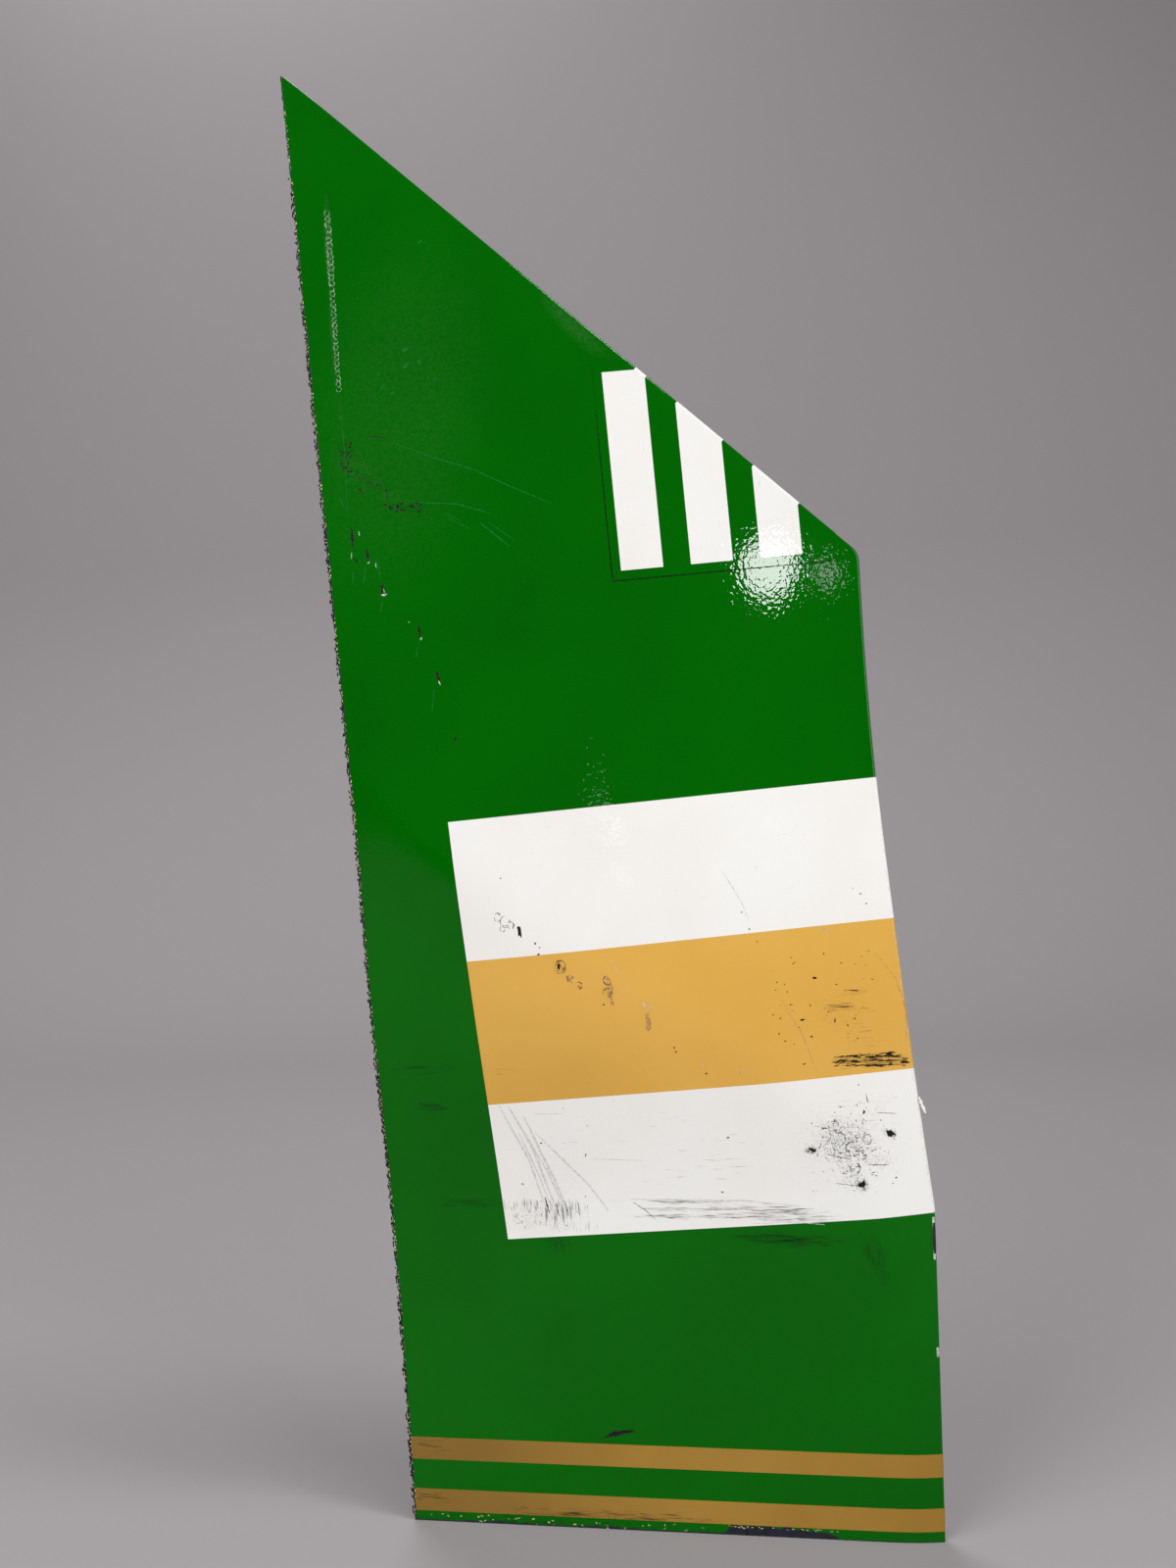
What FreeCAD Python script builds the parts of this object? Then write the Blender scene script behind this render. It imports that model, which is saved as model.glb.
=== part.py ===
"""A sawn-off piece of film-wrapped composite bodywork, as separate bonded layers.

The panel stands on its bottom edge with its decorated front towards -Y. A soft crest runs
across it in an S, and the surface falls away from the crest on both sides. Three laminate
plies carry a dark paint coat and a green wrap film. The film turns round the slanting top
edge and the right edge to a narrow hem on the back. The left edge is sawn and the bottom
edge is worn, so the layers end flush there. The stripes and the decal lie on the film.

Sizes are in millimetres and degrees. X runs to the right and Z runs up.
"""

import FreeCAD, Part
import math
import os
import Sketcher

# Driving dimensions. Each goes into one cell of the sheet, under its own name.
SIZES = {
    # outline of the laminate
    "panel_height": 527.5,
    "panel_half_width": 109.0,
    "corner_inset": 17.0,
    "corner_height": 352.5,
    "bend_height": 118.0,
    "right_edge_radius": 2300.0,
    "sawn_middle_inset": 16.5,
    "sawn_middle_height": 261.0,
    "sawn_foot_inset": 26.0,
    # shape of the moulded surface
    "crest_height": 201.0,
    "crest_run": 60.0,
    "crest_reach": 100.0,
    "crest_softness": 6.0,
    "left_fall": 0.097,
    "right_fall": 0.072,
    # thickness of the layers, and how far the film turns onto the back
    "skin_ply": 0.5,
    "middle_ply": 0.8,
    "paint_coat": 0.1,
    "wrap_film": 0.15,
    "stripe_film": 0.12,
    "hem_width": 12.0,
    # how far the foot has worn the film and the paint back
    "foot_wear": 0.4,
    # white, gold and white bands
    "band_start_inset": 50.5,
    "band_top_height": 260.5,
    "upper_white_drop": 50.0,
    "gold_drop": 53.0,
    "lower_white_drop": 51.0,
    "band_tilt": 4.0,
    "band_end_lean": 5.5,
    # thin stripes along the foot
    "stripe_width": 8.2,
    "stripe_pitch": 19.3,
    "stripe_foot_gap": 4.0,
    # decal of slanting bars at the top edge
    "decal_x": 6.0,
    "decal_height": 348.2,
    "decal_tilt": 3.7,
    "bar_width": 15.2,
    "bar_pitch": 25.2,
    "bar_length": 71.0,
    "backing_margin": 3.2,
    # how far the trimming outlines reach past the panel
    "reach": 300.0,
}

# Spacing of the points that the moulded surface passes through.
SURFACE_STEP = 12.0

doc = FreeCAD.newDocument("bodywork_panel_piece")
sheet = doc.addObject("Spreadsheet::Sheet", "sizes")
for row, (alias, size) in enumerate(SIZES.items(), start=1):
    sheet.set(f"A{row}", alias.replace("_", " "))
    sheet.set(f"B{row}", str(size))
    sheet.setAlias(f"B{row}", alias)
doc.recompute()


# The moulded surface

def crest_x(z):
    """Sideways place of the crest at height z."""
    return -sheet.crest_reach * math.tanh((z - sheet.crest_height) / sheet.crest_run)


def crest_lean(z):
    """Sideways change of the crest for each millimetre of height."""
    steepness = 1 - math.tanh((z - sheet.crest_height) / sheet.crest_run) ** 2
    return -sheet.crest_reach / sheet.crest_run * steepness


def soft_ramp(distance):
    """Almost 0 below zero and almost the distance above it, with a soft change between."""
    softness = sheet.crest_softness
    return (math.hypot(distance, softness) + distance - softness) / 2


def surface_y(x, z):
    """Depth of the moulded surface behind its crest."""
    across = (x - crest_x(z)) / math.hypot(1, crest_lean(z))
    return sheet.left_fall * soft_ramp(-across) + sheet.right_fall * soft_ramp(across)


def make_moulded_face():
    """The curved face that every layer copies, a little larger than the panel."""
    half_width = sheet.panel_half_width + SURFACE_STEP
    height = sheet.panel_height + 2 * SURFACE_STEP
    columns = round(2 * half_width / SURFACE_STEP)
    rows = round(height / SURFACE_STEP)
    grid = []
    for column in range(columns + 1):
        x = -half_width + 2 * half_width * column / columns
        heights = [height * row / rows - SURFACE_STEP for row in range(rows + 1)]
        grid.append([FreeCAD.Vector(x, surface_y(x, z), z) for z in heights])
    surface = Part.BSplineSurface()
    surface.interpolate(grid)
    face = doc.addObject("Part::Feature", "moulded_face")
    face.Shape = surface.toShape()
    return face


moulded_face = make_moulded_face()


def make_slab(name, start, depth):
    """A layer of a given depth that starts a given distance behind the moulded face."""
    slab = doc.addObject("Part::Extrusion", name)
    slab.Base = moulded_face
    slab.DirMode = "Custom"
    slab.Dir = FreeCAD.Vector(0, 1, 0)
    slab.Solid = True
    slab.setExpression("LengthFwd", depth)
    slab.setExpression("Placement.Base.y", start)
    return slab


# Outlines, each drawn in the upright plane

def fix_value(sketch, constraint, name, formula):
    """Add a constraint and bind its value to a formula."""
    index = sketch.addConstraint(constraint)
    sketch.renameConstraint(index, name)
    sketch.setExpression(f"Constraints.{name}", formula)


def arc_between(first, second, radius):
    """An arc from one corner down to the next whose centre lies to the right."""
    chord = second - first
    middle = (first + second) / 2
    towards_centre = FreeCAD.Vector(-chord.y, chord.x, 0).normalize()
    centre = middle + towards_centre * math.sqrt(radius ** 2 - (chord.Length / 2) ** 2)
    circle = Part.Circle(centre, FreeCAD.Vector(0, 0, 1), radius)
    return Part.ArcOfCircle(circle, circle.parameter(first), circle.parameter(second))


def draw_outline(name, corners, arcs=None):
    """A closed outline through corners given as pairs of formulas.

    arcs maps the number of a side to the formula of its radius. The other sides are straight.
    """
    arcs = arcs or {}
    sketch = doc.addObject("Sketcher::SketchObject", name)
    upright = FreeCAD.Rotation(FreeCAD.Vector(1, 0, 0), 90)
    sketch.Placement = FreeCAD.Placement(FreeCAD.Vector(), upright)
    places = []
    for across, up in corners:
        place = FreeCAD.Vector(sketch.evalExpression(across), sketch.evalExpression(up), 0)
        places.append(place)
    for number, place in enumerate(places):
        following = places[(number + 1) % len(places)]
        if number in arcs:
            side = arc_between(place, following, sketch.evalExpression(arcs[number]))
        else:
            side = Part.LineSegment(place, following)
        sketch.addGeometry(side)
    for number, place in enumerate(places):
        following = (number + 1) % len(places)
        sketch.addConstraint(Sketcher.Constraint("Coincident", number, 2, following, 1))
        across, up = corners[number]
        distance = Sketcher.Constraint("DistanceX", -1, 1, number, 1, place.x)
        fix_value(sketch, distance, f"across_{number}", across)
        distance = Sketcher.Constraint("DistanceY", -1, 1, number, 1, place.y)
        fix_value(sketch, distance, f"up_{number}", up)
    for number, radius in arcs.items():
        size = Sketcher.Constraint("Radius", number, sketch.evalExpression(radius))
        fix_value(sketch, size, f"radius_{number}", radius)
    return sketch


def make_prism(name, outline):
    """A prism that goes right through the panel's thickness."""
    prism = doc.addObject("Part::Extrusion", name)
    prism.Base = outline
    prism.DirMode = "Custom"
    prism.Dir = FreeCAD.Vector(0, 1, 0)
    prism.Symmetric = True
    prism.Solid = True
    prism.setExpression("LengthFwd", "sizes.reach")
    return prism


def make_offset(name, outline, distance):
    """A copy of an outline, moved out by a distance along every side."""
    offset = doc.addObject("Part::Offset2D", name)
    offset.Source = outline
    offset.Join = "Intersection"
    offset.setExpression("Value", distance)
    return offset


def make_common(name, *pieces):
    """The space that all the pieces share."""
    common = doc.addObject("Part::MultiCommon", name)
    common.Shapes = pieces
    return common


def make_cut(name, base, tool):
    """The base without the tool."""
    cut = doc.addObject("Part::Cut", name)
    cut.Base = base
    cut.Tool = tool
    return cut


# Corners of the laminate, and levels well past it

FAR_LEFT = "-sizes.panel_half_width - sizes.reach"
FAR_RIGHT = "sizes.panel_half_width + sizes.reach"
FAR_ABOVE = "sizes.panel_height + sizes.reach"
APEX = ("-sizes.panel_half_width", "sizes.panel_height")
CORNER = ("sizes.panel_half_width - sizes.corner_inset", "sizes.corner_height")
BEND = ("sizes.panel_half_width", "sizes.bend_height")
SAWN_FOOT = ("sizes.sawn_foot_inset - sizes.panel_half_width", "0")
SAWN_MIDDLE = (
    "sizes.sawn_middle_inset - sizes.panel_half_width",
    "sizes.sawn_middle_height",
)
# The sawn edge and the slanting edge, drawn on past the apex by the panel's own slopes.
SAWN_RISE = "(sizes.panel_height - sizes.sawn_middle_height) / sizes.sawn_middle_inset"
SLANT = (
    "(sizes.panel_height - sizes.corner_height)"
    " / (2 * sizes.panel_half_width - sizes.corner_inset)"
)
PAST_SAWN_APEX = (
    "-sizes.panel_half_width - 10",
    f"sizes.panel_height + 10 * {SAWN_RISE}",
)
PAST_SLANT_APEX = (
    FAR_LEFT,
    f"sizes.panel_height + sizes.reach * {SLANT}",
)
BELOW_BEND = ("sizes.panel_half_width", "-sizes.reach")
FAR_BELOW_LEFT = (FAR_LEFT, "-sizes.reach")

# The two factory edges bound one outline, and the sawn edge and the foot bound the other.
factory_edges = draw_outline(
    "factory_edges",
    [PAST_SLANT_APEX, CORNER, BEND, BELOW_BEND, FAR_BELOW_LEFT],
    arcs={1: "sizes.right_edge_radius"},
)
cut_edges = draw_outline(
    "cut_edges",
    [
        PAST_SAWN_APEX,
        (FAR_RIGHT, PAST_SAWN_APEX[1]),
        (FAR_RIGHT, "0"),
        SAWN_FOOT,
        SAWN_MIDDLE,
    ],
)
laminate_prism = make_prism("laminate_prism", factory_edges)
film_edges = make_offset("film_edges", factory_edges, "sizes.wrap_film")
film_prism = make_prism("film_prism", film_edges)
hem_edges = make_offset("hem_edges", factory_edges, "-sizes.hem_width")
window_prism = make_prism("window_prism", hem_edges)
cut_prism = make_prism("cut_prism", cut_edges)

# The film and the paint are worn back a little from the foot.
unworn_area = draw_outline(
    "unworn_area",
    [
        (FAR_LEFT, FAR_ABOVE),
        (FAR_RIGHT, FAR_ABOVE),
        (FAR_RIGHT, "sizes.foot_wear"),
        (FAR_LEFT, "sizes.foot_wear"),
    ],
)
unworn_prism = make_prism("unworn_prism", unworn_area)


# The layers, from the back to the front

def make_layer(name, start, depth, *further_limits):
    """A layer as large as the panel, within any further limits."""
    slab = make_slab(f"{name}_slab", start, depth)
    return make_common(name, slab, laminate_prism, cut_prism, *further_limits)


LAMINATE_DEPTH = "2 * sizes.skin_ply + sizes.middle_ply"
FILM_FRONT = "-sizes.paint_coat - sizes.wrap_film"
STRIPE_FRONT = f"{FILM_FRONT} - sizes.stripe_film"
BAR_FRONT = f"{STRIPE_FRONT} - sizes.stripe_film"

inner_ply = make_layer("inner_ply", "sizes.skin_ply + sizes.middle_ply", "sizes.skin_ply")
middle_ply = make_layer("middle_ply", "sizes.skin_ply", "sizes.middle_ply")
outer_ply = make_layer("outer_ply", "0", "sizes.skin_ply")
dark_paint_coat = make_layer(
    "dark_paint_coat",
    "-sizes.paint_coat",
    "sizes.paint_coat",
    unworn_prism,
)


def make_wrap_film():
    """The green film: a front sheet, two turned edges and a hem round an open back."""
    outer_slab = make_slab(
        "film_outer_slab",
        FILM_FRONT,
        f"{LAMINATE_DEPTH} + sizes.paint_coat + 2 * sizes.wrap_film",
    )
    inner_slab = make_slab(
        "film_inner_slab",
        "-sizes.paint_coat",
        f"{LAMINATE_DEPTH} + sizes.paint_coat",
    )
    window_slab = make_slab("window_slab", LAMINATE_DEPTH, "2 * sizes.wrap_film")
    outer = make_common("film_outer", outer_slab, film_prism, cut_prism, unworn_prism)
    inner = make_common("film_inner", inner_slab, laminate_prism)
    window = make_common("film_window", window_slab, window_prism)
    pocket = make_cut("film_pocket", outer, inner)
    return make_cut("green_wrap_film", pocket, window)


green_wrap_film = make_wrap_film()


# What lies on the film

def make_applied(name, corners, front):
    """A thin piece of film with the given corners, trimmed at the panel's edges."""
    slab = make_slab(f"{name}_slab", front, "sizes.stripe_film")
    prism = make_prism(f"{name}_prism", draw_outline(f"{name}_outline", corners))
    return make_common(name, slab, prism, film_prism, cut_prism)


def band_start(drop):
    """The left end of a band's edge, a given drop below the top of the bands."""
    across = (
        "sizes.band_start_inset - sizes.panel_half_width"
        f" + ({drop}) * tan(sizes.band_end_lean)"
    )
    return across, f"sizes.band_top_height - ({drop})"


def band_far_end(drop):
    """The point that a band's edge would reach beyond the right edge of the panel."""
    across, up = band_start(drop)
    return f"{across} + sizes.reach * cos(sizes.band_tilt)", (
        f"{up} + sizes.reach * sin(sizes.band_tilt)"
    )


def make_band(name, top_drop, foot_drop):
    """A tilted band that runs off the right edge."""
    corners = [
        band_start(top_drop),
        band_far_end(top_drop),
        band_far_end(foot_drop),
        band_start(foot_drop),
    ]
    return make_applied(name, corners, STRIPE_FRONT)


UPPER_FOOT = "sizes.upper_white_drop"
GOLD_FOOT = f"{UPPER_FOOT} + sizes.gold_drop"
LOWER_FOOT = f"{GOLD_FOOT} + sizes.lower_white_drop"
upper_white_band = make_band("upper_white_band", "0", UPPER_FOOT)
gold_band = make_band("gold_band", UPPER_FOOT, GOLD_FOOT)
lower_white_band = make_band("lower_white_band", GOLD_FOOT, LOWER_FOOT)


def make_stripe(name, foot):
    """A level stripe from the sawn edge to the right edge."""
    top = f"{foot} + sizes.stripe_width"
    corners = [(FAR_LEFT, top), (FAR_RIGHT, top), (FAR_RIGHT, foot), (FAR_LEFT, foot)]
    return make_applied(name, corners, STRIPE_FRONT)


UPPER_STRIPE_FOOT = "sizes.stripe_foot_gap + sizes.stripe_pitch"
upper_pinstripe = make_stripe("upper_pinstripe", UPPER_STRIPE_FOOT)
lower_pinstripe = make_stripe("lower_pinstripe", "sizes.stripe_foot_gap")


def decal_point(along, up):
    """A point of the decal, along its tilted base line and up from it."""
    across = f"sizes.decal_x + ({along}) * cos(sizes.decal_tilt) - ({up}) * sin(sizes.decal_tilt)"
    height = f"sizes.decal_height + ({along}) * sin(sizes.decal_tilt) + ({up}) * cos(sizes.decal_tilt)"
    return across, height


def decal_block(left, right, foot, top):
    """The four corners of a block of the decal."""
    return [
        decal_point(left, top),
        decal_point(right, top),
        decal_point(right, foot),
        decal_point(left, foot),
    ]


backing_corners = decal_block(
    "-sizes.backing_margin",
    "sizes.reach",
    "-sizes.backing_margin",
    "sizes.bar_length + sizes.backing_margin",
)
decal_backing = make_applied("decal_backing", backing_corners, STRIPE_FRONT)


def make_bars():
    """White bars on the backing, cut shorter by the slanting edge one after another."""
    bars = []
    for place, name in enumerate(["long_bar", "middle_bar", "short_bar"]):
        left = f"{place} * sizes.bar_pitch"
        right = f"{left} + sizes.bar_width"
        corners = decal_block(left, right, "0", "sizes.bar_length")
        bars.append(make_applied(f"decal_{name}", corners, BAR_FRONT))
    return bars


NODES = [
    inner_ply,
    middle_ply,
    outer_ply,
    dark_paint_coat,
    green_wrap_film,
    upper_white_band,
    gold_band,
    lower_white_band,
    upper_pinstripe,
    lower_pinstripe,
    decal_backing,
    *make_bars(),
]


# Put the origin under the middle of the whole, at the level of the foot

doc.recompute()
whole = FreeCAD.BoundBox()
for node in NODES:
    whole.add(node.Shape.optimalBoundingBox(False, False))
origin = FreeCAD.Vector(whole.Center.x, whole.Center.y, 0)
for node in NODES:
    node.Label = node.Name
    node.Placement = FreeCAD.Placement(-origin, FreeCAD.Rotation())
doc.recompute()


# Check the pieces and write them

for item in doc.Objects:
    if "Invalid" in item.State or "Error" in item.State:
        raise RuntimeError(f"{item.Name} failed: {item.State}")
for node in NODES:
    if node.Shape.isNull() or not node.Shape.isValid() or len(node.Shape.Solids) != 1:
        raise RuntimeError(f"{node.Label} is not one valid solid")

os.makedirs("parts", exist_ok=True)
for node in NODES:
    node.Shape.exportStep(f"parts/{node.Label}.step")
    print(f"{node.Label}: {node.Shape.Volume:.1f} mm3")
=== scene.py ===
"""Looks of the film-wrapped bodywork panel piece.

Every layer is rebuilt as a fine mesh on the panel's own moulded surface, so that the gloss
runs smoothly over it and the cut, torn and turned edges can be shown. Sizes are in metres.
X runs to the right, Z runs up, and the decorated front faces -Y. A flat point is a pair of
X and Z, and its depth follows from the moulded surface.
"""

import math

import bpy
import numpy as np
from mathutils import Matrix, Vector


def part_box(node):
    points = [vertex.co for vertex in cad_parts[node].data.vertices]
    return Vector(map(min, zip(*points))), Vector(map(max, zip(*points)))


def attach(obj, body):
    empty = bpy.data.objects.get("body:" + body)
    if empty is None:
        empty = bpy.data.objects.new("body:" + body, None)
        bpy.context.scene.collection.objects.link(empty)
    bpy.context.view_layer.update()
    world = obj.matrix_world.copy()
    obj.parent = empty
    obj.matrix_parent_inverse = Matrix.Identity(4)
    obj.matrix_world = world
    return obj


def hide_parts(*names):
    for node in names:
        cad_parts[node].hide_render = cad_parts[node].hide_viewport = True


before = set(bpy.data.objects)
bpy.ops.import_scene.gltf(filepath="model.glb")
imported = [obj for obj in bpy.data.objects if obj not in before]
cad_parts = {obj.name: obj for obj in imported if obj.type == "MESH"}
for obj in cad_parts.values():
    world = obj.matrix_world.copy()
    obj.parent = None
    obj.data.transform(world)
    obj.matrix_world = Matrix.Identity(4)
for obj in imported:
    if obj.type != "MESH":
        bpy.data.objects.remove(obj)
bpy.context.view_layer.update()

MM = 0.001


# The moulded surface

CREST_HEIGHT = 201 * MM
CREST_RUN = 60 * MM
CREST_REACH = 100 * MM
CREST_SOFTNESS = 6 * MM
LEFT_FALL = 0.097
RIGHT_FALL = 0.072


def soft_ramp(distance):
    """Almost 0 below zero and almost the distance above it, with a soft change between."""
    return (np.hypot(distance, CREST_SOFTNESS) + distance - CREST_SOFTNESS) / 2


def fall(x, z):
    """Depth of the moulded surface behind its crest."""
    bend = np.tanh((z - CREST_HEIGHT) / CREST_RUN)
    crest_lean = -CREST_REACH / CREST_RUN * (1 - bend**2)
    across = (x + CREST_REACH * bend) / np.hypot(1, crest_lean)
    return LEFT_FALL * soft_ramp(-across) + RIGHT_FALL * soft_ramp(across)


# Outline of the laminate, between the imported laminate's own limits

LOW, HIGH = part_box("outer_ply")
PANEL_HEIGHT = HIGH.z
CORNER = np.array([HIGH.x - 17 * MM, 352.5 * MM])
BEND_HEIGHT = 118 * MM
RIGHT_EDGE_RADIUS = 2.3
SAWN_MIDDLE = np.array([LOW.x + 16.5 * MM, 261 * MM])
SAWN_FOOT = np.array([LOW.x + 26 * MM, 0.0])
APEX = np.array([LOW.x, PANEL_HEIGHT])

sample_x, sample_z = np.meshgrid(
    np.linspace(SAWN_FOOT[0], HIGH.x, 300),
    np.linspace(0, CORNER[1], 500),
)
CREST_Y = LOW.y - fall(sample_x, sample_z).min()


def depth(x, z):
    """Y of the laminate's outer face."""
    return CREST_Y + fall(x, z)


# Thickness of the layers, and how far each one's face lies in front of the laminate

LAMINATE = 1.8 * MM
SKIN_PLY = 0.5 * MM
PAINT = 0.1 * MM
FILM = 0.15 * MM
STRIPE = 0.12 * MM
FILM_LIFT = PAINT + FILM
STRIPE_LIFT = FILM_LIFT + STRIPE
BAR_LIFT = STRIPE_LIFT + STRIPE
MARK_STEP = 0.01 * MM
MARK_LIFT = STRIPE_LIFT + MARK_STEP
GREEN_MARK_LIFT = FILM_LIFT + MARK_STEP
HEM_WIDTH = 12 * MM
# How far the bands and the decal go on over the hem.
TURNED_OVER = 9.5 * MM
# Radius of the film's turn round the edge, and the depth of the turn's middle.
TURN_RADIUS = (LAMINATE + PAINT + 2 * FILM) / 2
TURN_DEPTH = TURN_RADIUS - FILM_LIFT


# The factory edges, as points from the foot up to the corner and on to the apex

EDGE_STEP = 0.7 * MM
CORNER_EASE = 4


def edge_run(first, last):
    """Evenly spaced points on a straight line."""
    count = max(2, round(float(np.linalg.norm(last - first)) / EDGE_STEP))
    share = np.linspace(0, 1, count)[:, None]
    return first * (1 - share) + last * share


def bowed_run(first, last, radius):
    """Evenly spaced points on a shallow arc that bows towards -X."""
    points = edge_run(first, last)
    half = np.linalg.norm(last - first) / 2
    along = np.linspace(-1, 1, len(points))
    bow = (half**2 - (half * along) ** 2) / (2 * radius)
    points[:, 0] -= bow
    return points


def eased(points):
    """The same points with their corners slightly rounded."""
    before = points[0] + (points[0] - points[1]) * np.arange(CORNER_EASE, 0, -1)[:, None]
    after = points[-1] + (points[-1] - points[-2]) * np.arange(1, CORNER_EASE + 1)[:, None]
    padded = np.vstack([before, points, after])
    kernel = np.ones(2 * CORNER_EASE + 1) / (2 * CORNER_EASE + 1)
    return np.stack([np.convolve(padded[:, i], kernel, "valid") for i in (0, 1)], 1)


FOOT_RIGHT = np.array([HIGH.x, 0.0])
BEND = np.array([HIGH.x, BEND_HEIGHT])
LOWER_EDGE = edge_run(FOOT_RIGHT, BEND)
RIGHT_EDGE = bowed_run(BEND, CORNER, RIGHT_EDGE_RADIUS)
SLANT_EDGE = edge_run(CORNER, APEX)
EDGE = eased(np.vstack([LOWER_EDGE[:-1], RIGHT_EDGE[:-1], SLANT_EDGE]))
TANGENT = np.gradient(EDGE, axis=0)
TANGENT /= np.linalg.norm(TANGENT, axis=1)[:, None]
OUTWARD = np.stack([TANGENT[:, 1], -TANGENT[:, 0]], 1)
# Where the film starts to turn, a turn's radius inside its own outer edge.
TURN_LINE = EDGE + OUTWARD * (FILM - TURN_RADIUS)


def sawn_x(z):
    """Sideways place of the sawn edge at height z."""
    heights = [SAWN_FOOT[1], SAWN_MIDDLE[1], APEX[1]]
    return np.interp(z, heights, [SAWN_FOOT[0], SAWN_MIDDLE[0], APEX[0]])


def turn_x(z):
    """Sideways place of the turn line at height z."""
    return np.interp(z, TURN_LINE[:, 1], TURN_LINE[:, 0])


def turn_outward(z):
    """The outward direction at height z of the turn line."""
    return np.stack([np.interp(z, TURN_LINE[:, 1], OUTWARD[:, i]) for i in (0, 1)], -1)


def run_to_edge(starts, direction):
    """Where lines from the starts, all in one direction, meet the turn line."""
    near = np.zeros(len(starts))
    far = np.full(len(starts), PANEL_HEIGHT)
    for _ in range(40):
        middle = (near + far) / 2
        points = starts + middle[:, None] * direction
        inside = points[:, 0] < turn_x(points[:, 1])
        near = np.where(inside, middle, near)
        far = np.where(inside, far, middle)
    return starts + near[:, None] * direction


# Meshes

def rough(places, step, amount, seed):
    """A jagged change along a line, the same each time: random heights joined by slopes."""
    random = np.random.default_rng(seed)
    knots = np.arange(places.min() - step, places.max() + 2 * step, step)
    return np.interp(places, knots, random.uniform(-amount, amount, len(knots)))


def raised(flat, lift):
    """Flat points put on the panel, a lift in front of the laminate."""
    y = depth(flat[..., 0], flat[..., 1]) - lift
    return np.stack([flat[..., 0], y, flat[..., 1]], -1)


def between(starts, ends, shares):
    """Rows of flat points from the starts to the ends."""
    shares = shares[None, :, None]
    return starts[:, None] * (1 - shares) + ends[:, None] * shares


def round_edge(ends, outward, radius, last_angle):
    """Rows of points that turn round the panel's edge from its front."""
    angles = np.linspace(0, last_angle, 13)[1:]
    flat = ends[:, None] + outward[:, None] * (radius * np.sin(angles))[None, :, None]
    y = depth(ends[:, 0], ends[:, 1])[:, None] + TURN_DEPTH - radius * np.cos(angles)
    return np.stack([flat[..., 0], y, flat[..., 1]], -1)


def quads(rows, columns, start=0):
    """Faces of a grid, which face the front when rows go up and columns go right."""
    index = start + np.arange(rows * columns).reshape(rows, columns)
    corners = [index[:-1, :-1], index[:-1, 1:], index[1:, 1:], index[1:, :-1]]
    return np.stack(corners, -1).reshape(-1, 4)


def plate_parts(front, back):
    """Points and faces of a closed thin plate between two grids of points."""
    rows, columns = front.shape[:2]
    count = rows * columns
    index = np.arange(count).reshape(rows, columns)
    rim = np.concatenate([index[0], index[1:, -1], index[-1, -2::-1], index[-2:0:-1, 0]])
    after = np.roll(rim, -1)
    walls = np.stack([after, rim, rim + count, after + count], -1)
    faces = np.vstack([quads(rows, columns), quads(rows, columns, count)[:, ::-1], walls])
    return np.vstack([front.reshape(-1, 3), back.reshape(-1, 3)]), faces


def add_mesh(name, parts, material):
    """One smooth-shaded object from several sets of points and faces."""
    points = []
    faces = []
    count = 0
    for part_points, part_faces in parts:
        points.append(part_points)
        faces += (part_faces + count).tolist()
        count += len(part_points)
    mesh = bpy.data.meshes.new(name)
    mesh.from_pydata(np.vstack(points).tolist(), [], faces)
    mesh.polygons.foreach_set("use_smooth", [True] * len(mesh.polygons))
    mesh.set_sharp_from_angle(angle=math.radians(35))
    mesh.materials.append(material)
    piece = bpy.data.objects.new(name, mesh)
    bpy.context.scene.collection.objects.link(piece)
    return piece


def stand_for(piece, node):
    """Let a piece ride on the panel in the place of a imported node."""
    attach(piece, "root")
    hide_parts(node)
    return piece


# Materials

def linear(red, green, blue):
    """A colour given in display values from 0 to 255."""
    values = []
    for value in (red, green, blue):
        share = value / 255
        values.append(share / 12.92 if share <= 0.04045 else ((share + 0.055) / 1.055) ** 2.4)
    return (*values, 1.0)


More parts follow.
